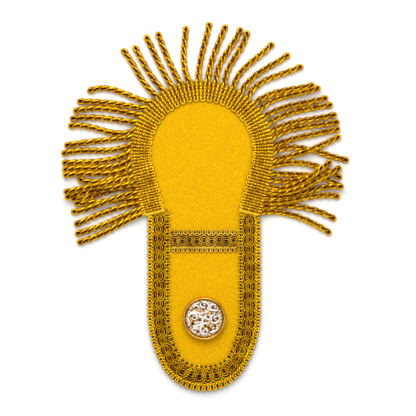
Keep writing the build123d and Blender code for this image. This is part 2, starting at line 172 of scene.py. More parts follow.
# Button
button_y = -59.6
button_diameter = 23.0
button_foot_diameter = 17.0
button_height = 6.0
button_flare_height = 3.0
rim_width = 1.2
cup_depth = 1.9
groove_width = 0.5
disc_thickness = 0.7
leaf_slant = 50.0           # of the leaves round the disc's edge, from the radius
leaf_half_length = 1.05
leaf_ring_depth = 0.95      # from the disc's edge to their middles
relief_oval = 1.2           # width of a scroll, as a share of its depth
leaf_count = 30

cord_radius = cord_diameter / 2

# One row for each cord, from the neck's left side over the top to its right side.
# reach: straight distance from seat to tip, as a share of fringe_reach.
# lean: degrees of that line from square to the heading, positive to the left as seen going outward.
# leave and finish: degrees of the cord's own direction from that line, at its seat and at its tip.
# layer: the order in which the cords were laid, so a higher one lies over a lower one.
Cord = namedtuple("Cord", "reach lean leave finish layer")
cords = [
    Cord(0.98, 9, -3, -9, 1),
    Cord(0.97, 6, 0, -6, 0),
    Cord(0.95, 3, -9, 6, 2),
    Cord(0.89, -10, 3, 0, 0),
    Cord(0.95, 1, -12, -9, 4),
    Cord(0.91, -5, -15, -9, 1),
    Cord(0.98, -2, 6, 9, 2),
    Cord(0.98, -2, 3, 0, 3),
    Cord(0.77, -6, 15, -27, 0),
    Cord(0.95, -1, 27, 3, 1),
    Cord(0.95, 5, 27, 3, 0),
    Cord(0.95, 10, 21, -6, 0),
    Cord(0.96, 14, 18, 9, 0),
    Cord(0.93, 19, 0, 3, 0),
    Cord(0.90, 15, 30, 15, 0),
    Cord(0.91, 21, -3, 12, 0),
    Cord(0.92, 27, -9, 18, 0),
    Cord(0.93, 31, -6, 6, 0),
    Cord(0.87, 34, 0, 36, 0),
    Cord(0.80, -2, 18, 3, 0),
    Cord(0.75, 2, 12, -6, 0),
    Cord(0.79, 3, 6, 0, 0),
    Cord(0.77, 7, 6, -3, 0),
    Cord(0.76, -6, 24, -6, 0),
    Cord(0.81, -13, 12, 0, 0),
    Cord(0.80, -13, 12, -3, 0),
    Cord(0.81, -12, 27, 3, 0),
    Cord(0.79, -3, 24, 12, 0),
    Cord(0.82, -14, 30, 0, 0),
    Cord(0.84, -17, 24, -3, 0),
    Cord(0.86, -18, 36, -3, 0),
    Cord(0.86, -24, 24, -3, 0),
    Cord(0.88, -14, 27, 3, 0),
    Cord(0.91, -11, 18, 0, 0),
    Cord(0.93, -5, 18, -6, 0),
    Cord(0.94, -1, 15, 0, 0),
    Cord(0.95, 5, 21, 0, 0),
    Cord(0.95, 11, 9, 0, 0),
    Cord(1.03, -3, 36, -6, 0),
    Cord(0.99, 27, -9, 9, 1),
    Cord(0.97, 4, 27, -24, 0),
    Cord(1.01, 4, 6, -24, 0),
    Cord(0.89, 31, -27, 33, 3),
    Cord(0.80, 33, -42, 24, 4),
    Cord(1.07, 32, -33, 9, 5),
    Cord(1.07, 22, -18, -12, 2),
    Cord(1.04, 19, -12, -15, 3),
    Cord(1.02, 6, 15, -21, 1),
    Cord(1.00, -1, 24, -15, 0),
]
cord_count = len(cords)

# Scrolls of the button's disc: where each one's first arc is centred and its radius, as shares of
# the disc's radius, the angle at which it starts, how far it turns in all, and its hand.
Scroll = namedtuple("Scroll", "x y size start turn hand")
scrolls = [
    Scroll(0.00, 0.66, 0.235, -50, 500, 1),
    Scroll(0.60, 0.00, 0.235, 215, 500, -1),
    Scroll(0.04, -0.60, 0.25, 85, 520, 1),
    Scroll(-0.62, 0.06, 0.22, 185, 470, -1),
    Scroll(0.21, 0.09, 0.14, 120, 300, 1),
    Scroll(-0.25, -0.06, 0.15, 110, 300, -1),
    Scroll(0.50, 0.62, 0.15, 230, 330, -1),
    Scroll(-0.50, -0.66, 0.13, 20, 330, 1),
    Scroll(0.56, -0.54, 0.15, 60, 340, -1),
    Scroll(-0.44, 0.56, 0.13, -60, 330, 1),
]
scroll_turn_shrink = 0.6

# Stems that join the scrolls: the points that each one passes through, as shares of the disc's radius.
stems = [
    [(0.19, 0.43), (0.05, 0.20), (-0.03, -0.05), (-0.10, -0.26), (-0.22, -0.42)],
    [(0.19, 0.43), (0.00, 0.28), (-0.24, 0.23), (-0.42, 0.33), (-0.62, 0.46)],
    [(0.19, 0.43), (0.36, 0.50), (0.55, 0.42), (0.78, 0.44)],
    [(-0.88, -0.26), (-0.74, -0.44), (-0.44, -0.44), (-0.16, -0.30), (0.10, -0.23), (0.30, -0.30)],
    [(0.34, -0.16), (0.50, -0.29), (0.72, -0.24), (0.88, -0.04), (0.86, 0.22)],
    [(-0.86, 0.20), (-0.66, 0.36), (-0.40, 0.28), (-0.34, 0.10)],
    [(-0.90, 0.02), (-0.80, -0.08), (-0.84, -0.22), (-0.74, -0.32)],
    [(-0.52, -0.20), (-0.42, -0.28), (-0.28, -0.24)],
    [(-0.34, 0.42), (-0.20, 0.42)],
    [(0.02, 0.42), (0.12, 0.48)],
    [(0.30, -0.34), (0.42, -0.42), (0.36, -0.50)],
    [(0.28, -0.74), (0.46, -0.78), (0.66, -0.62)],
    [(-0.66, 0.66), (-0.50, 0.78), (-0.30, 0.86)],
]

# Holes pierced through the disc between the scrolls: x, y and radius, as shares of the disc's radius.
holes = [
    (-0.45, 0.56, 0.06), (-0.28, 0.50, 0.07), (-0.05, 0.47, 0.05), (0.12, 0.68, 0.06),
    (-0.12, 0.78, 0.05), (0.46, 0.58, 0.06), (0.66, 0.27, 0.07), (0.41, 0.27, 0.05),
    (0.03, 0.22, 0.06), (0.23, 0.08, 0.07), (0.02, -0.14, 0.05), (-0.25, -0.10, 0.06),
    (-0.68, 0.12, 0.06), (-0.53, 0.02, 0.05), (-0.62, -0.28, 0.07), (-0.70, -0.42, 0.05),
    (0.53, -0.10, 0.05), (0.74, -0.04, 0.06), (0.06, -0.38, 0.06), (-0.06, -0.56, 0.05),
    (0.08, -0.74, 0.05), (-0.33, -0.72, 0.06), (0.60, -0.42, 0.06), (0.38, -0.60, 0.05),
]


class Route:
    """A plane line of straight legs and arcs, each given as (length, turn in degrees)."""

    def __init__(self, start, bearing, legs):
        self.start, self.bearing, self.legs = start, bearing, legs
        self.length = sum(length for length, turn in legs)

    def at(self, s):
        """The place and bearing after the distance s. The line runs on straight past its ends."""
        x, y = self.start
        bearing = radians(self.bearing)
        if s < 0:
            return x + s * cos(bearing), y + s * sin(bearing), bearing
        for length, turn in self.legs:
            step = min(s, length)
            bend = radians(turn) / length
            if turn:
                x += (sin(bearing + bend * step) - sin(bearing)) / bend
                y += (cos(bearing) - cos(bearing + bend * step)) / bend
                bearing += bend * step
            else:
                x += step * cos(bearing)
                y += step * sin(bearing)
            s -= step
            if s <= 0:
                break
        return x + s * cos(bearing), y + s * sin(bearing), bearing

    def beside(self, s, left):
        """The point that lies a distance to the left of the line at s."""
        x, y, bearing = self.at(s)
        return x - left * sin(bearing), y + left * cos(bearing)

    def marks(self, pitch, left=0):
        """Places evenly spaced along the line that lies to the left, whole steps from end to end."""
        spans = [(length, length - radians(turn) * left) for length, turn in self.legs]
        total = sum(span for length, span in spans)
        count = max(1, round(total / pitch))
        places = []
        for i in range(count + 1):
            target, s = i * total / count, 0
            for length, span in spans:
                step = min(target, span)
                s += length * step / span
                target -= step
            places.append(s)
        return places

    def lay(self, places, lefts, heights):
        """The points of a line given by places along the route, distances to its left and heights."""
        lefts = np.broadcast_to(lefts, len(places))
        flat = [self.beside(s, left) for s, left in zip(places, lefts)]
        return np.column_stack([np.array(flat), np.broadcast_to(heights, len(flat))])


def heading_route():
    """The heading's outer edge, from the neck's left side over the top to its right side."""
    taper = radians(neck_taper)
    outer_radius = head_radius + heading_width
    leg = (head_y - head_radius * sin(taper) - neck_y) / cos(taper)
    start_x = head_x - outer_radius * cos(taper) + leg * sin(taper)
    start_y = head_y - outer_radius * sin(taper) - leg * cos(taper)
    sweep = 180 + 2 * neck_taper
    legs = [(leg, 0), (radians(sweep) * outer_radius, -sweep), (leg, 0)]
    return Route((start_x, start_y), 90 + neck_taper, legs)


def strap_route(left_top, right_top):
    """The outer edge of the strap, from its left side down round the tail and up its right side."""
    half, rise, tip = strap_half_width, tail_rise, tail_tip_radius
    flank = (half ** 2 + rise ** 2 - 2 * rise * tip) / (2 * (half - tip))
    bend = degrees(atan2(rise - tip, flank - half))
    flank_arc = (radians(bend) * flank, bend)
    tip_arc = (radians(180 - 2 * bend) * tip, 180 - 2 * bend)
    left_side, right_side = (left_top - tail_start, 0), (right_top - tail_start, 0)
    return Route((-half, left_top), -90, [left_side, flank_arc, tip_arc, flank_arc, right_side])


def ease(share):
    """A smooth step from 0 to 1."""
    share = np.clip(share, 0, 1)
    return share * share * (3 - 2 * share)


def distance_along(line):
    """How far each point is along the line."""
    steps = np.linalg.norm(np.diff(line[:, :3], axis=0), axis=1)
    return np.concatenate([[0], np.cumsum(steps)])


def even(line, step):
    """The same line, with all its columns, at points an even step apart."""
    run = distance_along(line)
    places = np.linspace(0, run[-1], max(3, ceil(run[-1] / step) + 1))
    return np.column_stack([np.interp(places, run, column) for column in line.T])


def unit(vectors):
    return vectors / np.maximum(np.linalg.norm(vectors, axis=-1, keepdims=True), 1e-9)


class Spool:
    """Yarns and bands wound up into one mesh.

    Each point carries how far it stands out of the work, from 0 deep in a groove to 1 on a crest, as
    the attribute crest, which the materials turn into painted shade: the lower the crest, the darker.
    The yarn map holds millimetres along the yarn and round it.
    """

    def __init__(self):
        self.points, self.crests, self.faces, self.maps = [], [], [], []
        self.count = 0

    def add(self, rings, crests, runs, rounds):
        """Faces between closed rings of points, given as an array of rings by points by three.

        Runs say how far each ring lies along the yarn, and rounds how long the way round it is.
        """
        count, sides = rings.shape[:2]
        index = self.count + np.arange(count * sides).reshape(count, sides)
        following = np.roll(index, -1, axis=1)
        quads = np.stack([index[:-1], following[:-1], following[1:], index[1:]], axis=-1).reshape(-1, 4)
        near = np.broadcast_to(rounds * np.arange(sides) / sides, (count - 1, sides))
        far = near + rounds / sides
        low = np.broadcast_to(runs[:-1, None], near.shape)
        high = np.broadcast_to(runs[1:, None], near.shape)
        corners = [(low, near), (low, far), (high, far), (high, near)]
        self.faces.append(quads)
        self.maps.append(np.stack([np.stack(c, axis=-1) for c in corners], axis=2).reshape(-1, 2))
        for cap in (index[0][::-1], index[-1]):
            self.faces.append(cap[None, :])
            self.maps.append(np.zeros((sides, 2)))
        self.points.append(rings.reshape(-1, 3))
        self.crests.append(crests.ravel())
        self.count += count * sides

    def yarn(self, line, radius, sides=8, axis=None, reach=None, tone=0, oval=1, plied=None, furrow=None,
             closed_ends=True):
        """A tube along a line.

        Its crest is its distance from an axis, as a share of the reach. Without an axis that is a
        line sunk below it. The tone, of all of it or of each point, moves the crests up or down. An
        oval yarn is that many times as wide as it is deep, seen from the axis. A yarn with a share in
        which it is plied with another has lobes, its strands. There its crest falls only in the
        groove between the two, most of all on top, and in the furrow that parts its two halves,
        which is given by the cosine and sine of twice its angle round the yarn. These falls, and
        those between the lobes, are painted shade, deeper on top where the groove is seen from above.
        A closed end is drawn in, over its last two points.
        """
        count = len(line)
        radius = np.broadcast_to(radius, count).astype(float).copy()
        if closed_ends:
            radius[[0, -1]] *= 0.35
            radius[[1, -2]] *= 0.85
        run = distance_along(line)
        ahead = unit(np.gradient(line, axis=0))
        if axis is None:
            axis = line - 0.8 * radius[:, None] * UP
        side = unit(np.cross(line - axis, ahead))[:, None, :]
        above = np.cross(ahead, side[:, 0])[:, None, :]
        turn = 2 * pi * np.arange(sides) / sides
        angles = turn[None, :] + pi / 2
        girth = np.repeat(radius[:, None], sides, axis=1)
        if plied is not None:
            angles = turn[None, :] + 2 * pi * run[:, None] / lobe_lay
            lobe = np.cos(ply_lobes * turn)[None, :]
            ridge = np.cos(2 * angles) * furrow[:, :1] + np.sin(2 * angles) * furrow[:, 1:]
            girth = girth * (1 + lobe_depth * lobe) * (1 + furrow_depth * ridge)
        across = np.broadcast_to(oval, count)[:, None] * np.cos(angles)
        rings = line[:, None, :] + girth[..., None] * (
            across[..., None] * side + np.sin(angles)[..., None] * above
        )
        if reach is None:
            reach = np.linalg.norm(line - axis, axis=1) + radius
        outward = rings - axis[:, None, :]
        crest = np.linalg.norm(outward, axis=2) / reach[:, None]
        if plied is not None:
            # painted shade: dark in the groove against the other ply, more on top, in the furrow and between
            # the lobes
            shade = groove_shade + groove_top_shade * np.maximum(0, unit(outward)[..., 2])
            hidden = 1 - ease((np.sin(angles) + groove_start) / groove_spread)
            share = plied[:, None]
            crest = crest * (1 - share) + (1 - hidden * shade) * share
            sunk = (np.hypot(*furrow.T)[:, None] - ridge) / 2
            crest = crest - furrow_shade * sunk ** 5 - lobe_shade * (1 - lobe) / 2
        crest = crest + np.broadcast_to(tone, count)[:, None]
        self.add(rings, np.clip(crest, 0, 1), run, 2 * pi * float(radius.mean()))

    def band(self, route, places, section, crests):
        """A closed band along a route. A section is a ring of (distance to the left, height) at s."""
        rings = np.array([
            [(*route.beside(s, left), height) for left, height in section(s)] for s in places
        ])
        run = distance_along(rings[:, 0])
        self.add(rings, np.broadcast_to(crests, rings.shape[:2]), run, 2 * np.ptp(rings[0], axis=0).max())

    def piece(self, name, material, slot, *nodes):
        """The mesh object, in the place of the nodes that it stands for."""
        mesh = bpy.data.meshes.new(name)
        points = np.concatenate(self.points) * MM
        corners = np.concatenate([face.ravel() for face in self.faces])
        sizes = np.concatenate([np.full(len(face), face.shape[1]) for face in self.faces])
        mesh.vertices.add(len(points))
        mesh.vertices.foreach_set("co", points.ravel().astype(np.float32))
        mesh.loops.add(len(corners))
        mesh.loops.foreach_set("vertex_index", corners.astype(np.int32))
        mesh.polygons.add(len(sizes))
        starts = np.concatenate([[0], np.cumsum(sizes)[:-1]])
        mesh.polygons.foreach_set("loop_start", starts.astype(np.int32))
        mesh.polygons.foreach_set("use_smooth", np.ones(len(sizes), bool))
        mesh.update(calc_edges=True)
        layer = mesh.uv_layers.new(name="yarn")
        layer.data.foreach_set("uv", np.concatenate(self.maps).ravel().astype(np.float32))
        crest = mesh.attributes.new("crest", "FLOAT", "POINT")
        crest.data.foreach_set("value", np.concatenate(self.crests).astype(np.float32))
        return place_piece(name, mesh, material, slot, *nodes)


def place_piece(name, mesh, material, slot, *nodes):
    """The mesh as an object on the one body, shown instead of the solids that it stands for."""
    mesh.materials.append(material)
    piece = bpy.data.objects.new(name, mesh)
    bpy.context.scene.collection.objects.link(piece)
    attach(piece, "root")
    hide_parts(*nodes)
    return piece


def linear(code):
    """An sRGB hex colour as linear red, green and blue, opaque."""
    parts = [int(code[i:i + 2], 16) / 255 for i in (1, 3, 5)]
    return (*[p / 12.92 if p <= 0.04045 else ((p + 0.055) / 1.055) ** 2.4 for p in parts], 1.0)


def add_node(tree, kind, settings=(), links=()):
    """Adds a node. Settings and links go to its sockets by name or number, or else to its properties.

    The setting stops fills a colour ramp, from (position, hex colour) pairs.
    """
    made = tree.nodes.new(kind)
    for name, value in dict(settings).items():
        if name == "stops":
            elements = made.color_ramp.elements
            while len(elements) < len(value):
                elements.new(1.0)
            for element, (position, code) in zip(elements, value):
                element.position = position
                element.color = linear(code)
        elif isinstance(name, int) or name in made.inputs:
            made.inputs[name].default_value = value
        else:
            setattr(made, name, value)
    for name, output in dict(links).items():
        tree.links.new(output, made.inputs[name])
    return made


def start_material(name):
    """A new material, its bare tree, and the link that lays a pattern out over the body in metres."""
    material = bpy.data.materials.new(name)
    material.use_nodes = True
    tree = material.node_tree
    for old in list(tree.nodes):
        tree.nodes.remove(old)
    body = add_node(tree, "ShaderNodeTexCoord")
    return material, tree, {"Vector": body.outputs["Object"]}


def finish_material(material, settings, links, height=None, strength=0, depth=0):
    """Gives a material its surface, which the height may raise by up to a depth in millimetres."""
    tree = material.node_tree
    links = dict(links)
    if height is not None:
        bump = add_node(tree, "ShaderNodeBump", {"Strength": strength, "Distance": depth * MM},
                        {"Height": height})
        links["Normal"] = bump.outputs["Normal"]
    surface = add_node(tree, "ShaderNodeBsdfPrincipled", settings, links)
    add_node(tree, "ShaderNodeOutputMaterial", (), {"Surface": surface.outputs["BSDF"]})
    return material


def metal_thread(name, stops, wrap_pitch, roughness, metallic):
    """Thread wound with flat gold wire: each turn of the wire is a fine ridge across the yarn.

    Its colour is painted shade by crest: the wire is bright gold where the yarn stands out, and goes to
    amber and then brown in the grooves.
    Blotches of 6 mm and specks of half a millimetre make it uneven, as handled metal thread is.
    """
    material, tree, place = start_material(name)
    crest = add_node(tree, "ShaderNodeAttribute", {"attribute_name": "crest"})
    yarn = add_node(tree, "ShaderNodeUVMap", {"uv_map": "yarn"})
    blotches = add_node(tree, "ShaderNodeTexNoise", {"Scale": 1 / (6 * MM), "Detail": 2.0}, place)
    specks = add_node(tree, "ShaderNodeTexNoise", {"Scale": 1 / (0.55 * MM), "Detail": 1.0}, place)
    wraps = add_node(tree, "ShaderNodeTexWave", {
        "wave_type": "BANDS", "bands_direction": "X", "Scale": band_scale / wrap_pitch, "Distortion": 0.6,
        "Detail": 1.0,
    }, {"Vector": yarn.outputs["UV"]})
    shade = crest.outputs["Fac"]
    for pattern, depth in ((blotches, 0.22), (specks, 0.24), (wraps, 0.12)):
        part = add_node(tree, "ShaderNodeMath", {"operation": "MULTIPLY_ADD", 1: depth, 2: -depth / 2},
                        {0: pattern.outputs["Fac"]})
        shaded = add_node(tree, "ShaderNodeMath", {"operation": "ADD"}, {0: shade, 1: part.outputs[0]})
        shade = shaded.outputs[0]
    ramp = add_node(tree, "ShaderNodeValToRGB", {"stops": stops}, {"Fac": shade})
    return finish_material(
        material, {"Metallic": metallic, "Roughness": roughness, "Specular Tint": linear("#FFD060")},
        {"Base Color": ramp.outputs["Color"]}, wraps.outputs["Fac"], 0.35, 0.08,
    )


def bullion_gold():
    """Gold wire thread twisted into plies, bright on the crests and brown with painted shade in the lay
    between them.
    """
    # stops by crest: the dark ones are painted shade in the lay, the last one the bright crests
    stops = [(0.0, "#0E0400"), (0.60, "#300E00"), (0.69, "#662E00"), (0.78, "#A46602"), (0.87, "#C89204"),
             (0.98, "#F4CC14")]
    return metal_thread("bullion_gold_thread", stops, 0.42, 0.4, 0.75)


def gimp_gold():
    """Gold wire gimp: a finer wire wound close, so it is smoother and more golden."""
    # stops by crest: the dark ones are painted shade in the grooves
    stops = [(0.0, "#0C0200"), (0.60, "#1A0600"), (0.72, "#4C2200"), (0.84, "#864E00"), (0.93, "#B47C00"),
             (1.0, "#EABE0A")]
    return metal_thread("gimp_gold_thread", stops, 0.32, 0.4, 0.78)


def warm_gimp_gold():
    """The finer gimp of the cross braid, whose wire is redder and more even."""
    # stops by crest: the dark ones are painted shade in the grooves
    stops = [(0.0, "#100500"), (0.60, "#240E00"), (0.72, "#542C04"), (0.84, "#8C5A0C"), (0.93, "#B07C1C"),
             (1.0, "#E8C03C")]
    return metal_thread("warm_gimp_thread", stops, 0.28, 0.42, 0.75)


def antique_gold():
    """The darker thread that binds the heading and backs the braid."""
    # stops by crest: the dark ones are painted shade in the grooves
    stops = [(0.0, "#240C00"), (0.5, "#7A4600"), (0.8, "#C89008"), (1.0, "#F0C428")]
    return metal_thread("antique_gold_thread", stops, 0.36, 0.45, 0.7)


def brown_tape():
    """Woven rayon tape, ribbed each half millimetre: brown under the yarns, which is painted shade, amber
    where it is open.
    """
    material, tree, _ = start_material("brown_rayon_tape")
    crest = add_node(tree, "ShaderNodeAttribute", {"attribute_name": "crest"})
    yarn = add_node(tree, "ShaderNodeUVMap", {"uv_map": "yarn"})
    ribs = add_node(tree, "ShaderNodeTexWave", {
        "wave_type": "BANDS", "bands_direction": "X", "Scale": band_scale / 0.5, "Distortion": 1.5,
    }, {"Vector": yarn.outputs["UV"]})
    shade = add_node(tree, "ShaderNodeMath", {"operation": "MULTIPLY_ADD", 1: 0.3},
                     {0: ribs.outputs["Fac"], 2: crest.outputs["Fac"]})
    # painted shade: dark by crest under the yarns, with the ribs laid over it
    ramp = add_node(tree, "ShaderNodeValToRGB", {
        "stops": [(0.1, "#100500"), (0.4, "#341600"), (0.8, "#8A5606"), (1.0, "#B88A18")],
    }, {"Fac": shade.outputs[0]})
    return finish_material(material, {"Roughness": 0.8, "Specular IOR Level": 0.12},
                           {"Base Color": ramp.outputs["Color"]}, ribs.outputs["Fac"], 0.6, 0.15)


def wool_felt():
    """Pressed wool felt: matt, with a grain of matted fibres and a faint bloom at a low angle."""
    material, tree, place = start_material("golden_wool_felt")
    grain = add_node(tree, "ShaderNodeTexNoise", {"Scale": 1 / (0.9 * MM), "Detail": 6.0, "Roughness": 0.7},
                     place)
    fibre = add_node(tree, "ShaderNodeTexVoronoi", {"Scale": 1 / (0.7 * MM), "feature": "F1"}, place)
    matted = add_node(tree, "ShaderNodeMath", {"operation": "ADD"},
                      {0: grain.outputs["Fac"], 1: fibre.outputs["Distance"]})
    ramp = add_node(tree, "ShaderNodeValToRGB", {
        "stops": [(0.30, "#BE8A00"), (0.50, "#D29D00"), (0.70, "#E4AF02")],
    }, {"Fac": grain.outputs["Fac"]})
    return finish_material(material, {
        "Roughness": 0.95, "Sheen Weight": 0.12, "Sheen Roughness": 0.5, "Sheen Tint": linear("#FFC840"),
        "Specular IOR Level": 0.08,
    }, {"Base Color": ramp.outputs["Color"]}, matted.outputs[0], 0.6, 0.12)


def polished_metal(name, stops, roughness, scale, relief=False):
    """Stamped and plated brass: a near mirror, with faint rub marks and a tarnish that drifts over it.

    On a relief the colour follows the crest, as painted shade: silver on top, then gold, then brown down the
    sides round their feet.
    """
    material, tree, place = start_material(name)
    drift = add_node(tree, "ShaderNodeTexNoise", {"Scale": 1 / (scale * MM), "Detail": 4.0}, place)
    tarnish = drift.outputs["Fac"]
    if relief:
        # painted shade by crest, with the tarnish added
        crest = add_node(tree, "ShaderNodeAttribute", {"attribute_name": "crest"})
        lowered = add_node(tree, "ShaderNodeMath", {"operation": "MULTIPLY_ADD", 1: 0.14, 2: -0.07},
                           {0: tarnish})
        crest_and_tarnish = add_node(tree, "ShaderNodeMath", {"operation": "ADD"},
                        {0: crest.outputs["Fac"], 1: lowered.outputs[0]})
        tarnish = crest_and_tarnish.outputs[0]
    ramp = add_node(tree, "ShaderNodeValToRGB", {"stops": stops}, {"Fac": tarnish})
    rubbed = add_node(tree, "ShaderNodeMapRange", {"To Min": roughness * 0.8, "To Max": roughness * 1.3},
                      {"Value": drift.outputs["Fac"]})
    return finish_material(material, {"Metallic": 1.0}, {
        "Base Color": ramp.outputs["Color"], "Roughness": rubbed.outputs["Result"],
    }, drift.outputs["Fac"], 0.15, 0.03)


def plain_colour(name, scale, detail, stops, settings):
    """A matt surface whose colour is faintly uneven, in spots of so many millimetres."""
    material, tree, place = start_material(name)
    spots = add_node(tree, "ShaderNodeTexNoise", {"Scale": 1 / (scale * MM), "Detail": detail}, place)
    ramp = add_node(tree, "ShaderNodeValToRGB", {"stops": stops}, {"Fac": spots.outputs["Fac"]})
    return finish_material(material, settings, {"Base Color": ramp.outputs["Color"]})


def hole_shade_sheet():
    """A black sheet behind the pierced disc, faintly uneven, put there as painted shade so that its holes
    read dark.
    """
    return plain_colour("painted_hole_shade", 0.6, 2.0, [(0.3, "#060302"), (0.8, "#1C1008")],
                        {"Roughness": 0.6})


def white_board():
    """Plain white board with the faintest tooth, matt, so that it holds only soft shadows."""
    return plain_colour("white_board", 1.5, 3.0, [(0.0, "#E0E0E0"), (1.0, "#E8E8E8")],
                        {"Roughness": 0.9, "Specular IOR Level": 0.1})


def heading_flare(route, s):
    """How far the heading's outer edge has spread at s, growing along each leg towards the neck."""
    leg = route.legs[0][0]
    return (heading_end_width - heading_width) * max(0, 1 - min(s, route.length - s) / leg)


def seat_place(route, place):
    """The distance along the heading of a place counted in cords, and the heading's flare there."""
    share = place / cord_count
    s = (share - cord_crowding * sin(2 * pi * share) - cord_drift * sin(pi * share)) * route.length
    return s, heading_flare(route, s)


def cord_knots(index, route):
    """The four control points of one cord's curve as seen from above."""
    cord = cords[index]
    s, flare = seat_place(route, index + 0.5)
    bearing = route.at(s)[2]
    x, y = route.beside(s, flare)
    reach = cord.reach * fringe_reach
    chord = bearing + pi / 2 + radians(cord.lean)
    leave, finish = chord + radians(cord.leave), chord + radians(cord.finish)
    pull = cord_pull * reach
    end = (x + reach * cos(chord), y + reach * sin(chord))
    return np.array([
        (x, y),
        (x + pull * cos(leave), y + pull * sin(leave)),
        (end[0] - pull * cos(finish), end[1] - pull * sin(finish)),
        end,
    ])


def curve_points(knots, count):
    """Points of a cubic curve, evenly spread in its own measure."""
    t = np.linspace(0, 1, count)[:, None]
    weights = np.hstack([(1 - t) ** 3, 3 * t * (1 - t) ** 2, 3 * t * t * (1 - t), t ** 3])
    return weights @ knots


def crossing_height(points, spacing, line, heights):
    """How high a cord's centre has to be at each point, to lie over a cord that was laid before it."""
    start, span = line[:-1], np.diff(line, axis=0)
    offset = points[:, None, :] - start[None, :, :]
    t = np.clip((offset * span).sum(axis=2) / (span * span).sum(axis=1), 0, 1)
    away = np.linalg.norm(offset - t[..., None] * span, axis=2)
    under = heights[:-1] + t * np.diff(heights)
    room = spacing[:, None] ** 2 - away ** 2
    return np.where(room > 0, under + np.sqrt(np.maximum(room, 0)), 0).max(axis=1)


def lay_cords(lines):
    """The height of each cord's centre at each of its points: on the floor, or over what it crosses."""
    seat_height = felt_top + cord_root_share * cord_radius
    heights = {}
    for index in sorted(range(cord_count), key=lambda i: (cords[i].layer, i)):
        along = distance_along(lines[index])
        fall = np.minimum(1, along / drop_run)
        level = seat_height + (cord_radius - seat_height) * ease(fall)
        spacing = cord_diameter * (cord_root_share + (1 - cord_root_share) * fall)
        for other in heights:
            if abs(other - index) <= cord_neighbours:
                over = crossing_height(lines[index], spacing, lines[other], heights[other])
                level = np.maximum(level, over)
        slopes = level[:, None] - pile_slope * np.abs(along[:, None] - along[None, :])
        heights[index] = slopes.max(axis=0)
    return heights


def wander(*keys):
    """A fixed number from -1 to 1 that looks random, for the unevenness of hand work."""
    seed = sum((i + 1) * 12.9898 * key for i, key in enumerate(keys)) + 4.1
    return 2 * ((sin(seed) * 43758.5453) % 1) - 1


def strand_width(route, place, offset):
    """The radius of a heading strand, which is thicker where the strands have more room."""
    ends = [route.beside(seat_place(route, place + step)[0], offset) for step in (-0.25, 0.25)]
    room = strand_fullness * np.linalg.norm(np.subtract(*ends))
    return min(max(strand_radius, room), ply_radius)


def strand_rows(route, place, inner):
    """A strand of the heading from its inner end out to its outer end.

    Each row has a point, the yarn's radius there, the axis of its crest, its reach, its oval, the
    share in which it is plied, and the cosine and sine of its furrow's angle, doubled.
    """
    s, outer = seat_place(route, place)
    floor = felt_top + strand_radius - strand_depth
    rows = []
    for offset in np.linspace(inner, outer, ceil((outer - inner) / strand_step)):
        x, y = route.beside(s, offset)
        bead = -strand_bead * cos(2 * pi * (-offset - first_warp) / warp_pitch)
        bead += 0.08 * wander(place, round(offset / warp_pitch))
        width = strand_width(route, place, offset)
        rows.append([x, y, floor + strand_depth + 0.5 * bead, width + 0.4 * bead, x, y, floor,
                     strand_depth + width + 0.75 * strand_bead, *unplied])
    return rows


def hairpin_rows(route, boundary, inner, before, after):
    """The loop at the inner edge that joins two strands, from one angle of its turn to another."""
    rows = []
    reach = loop_reach + 0.22 * wander(boundary, 7)
    flare = loop_flare * (1 + 0.3 * wander(boundary, 3))
    for turn in np.linspace(before, after, 9):
        place = boundary - 0.25 * cos(turn) - flare * sin(2 * turn)
        x, y = route.beside(seat_place(route, place)[0], inner - reach * sin(turn))
        width = strand_radius + (loop_radius - strand_radius) * sin(turn)
        height = felt_top + strand_radius + 0.1 * sin(turn)
        rows.append([x, y, height, width, x, y, height - strand_depth, strand_depth + width, *unplied])
    return rows


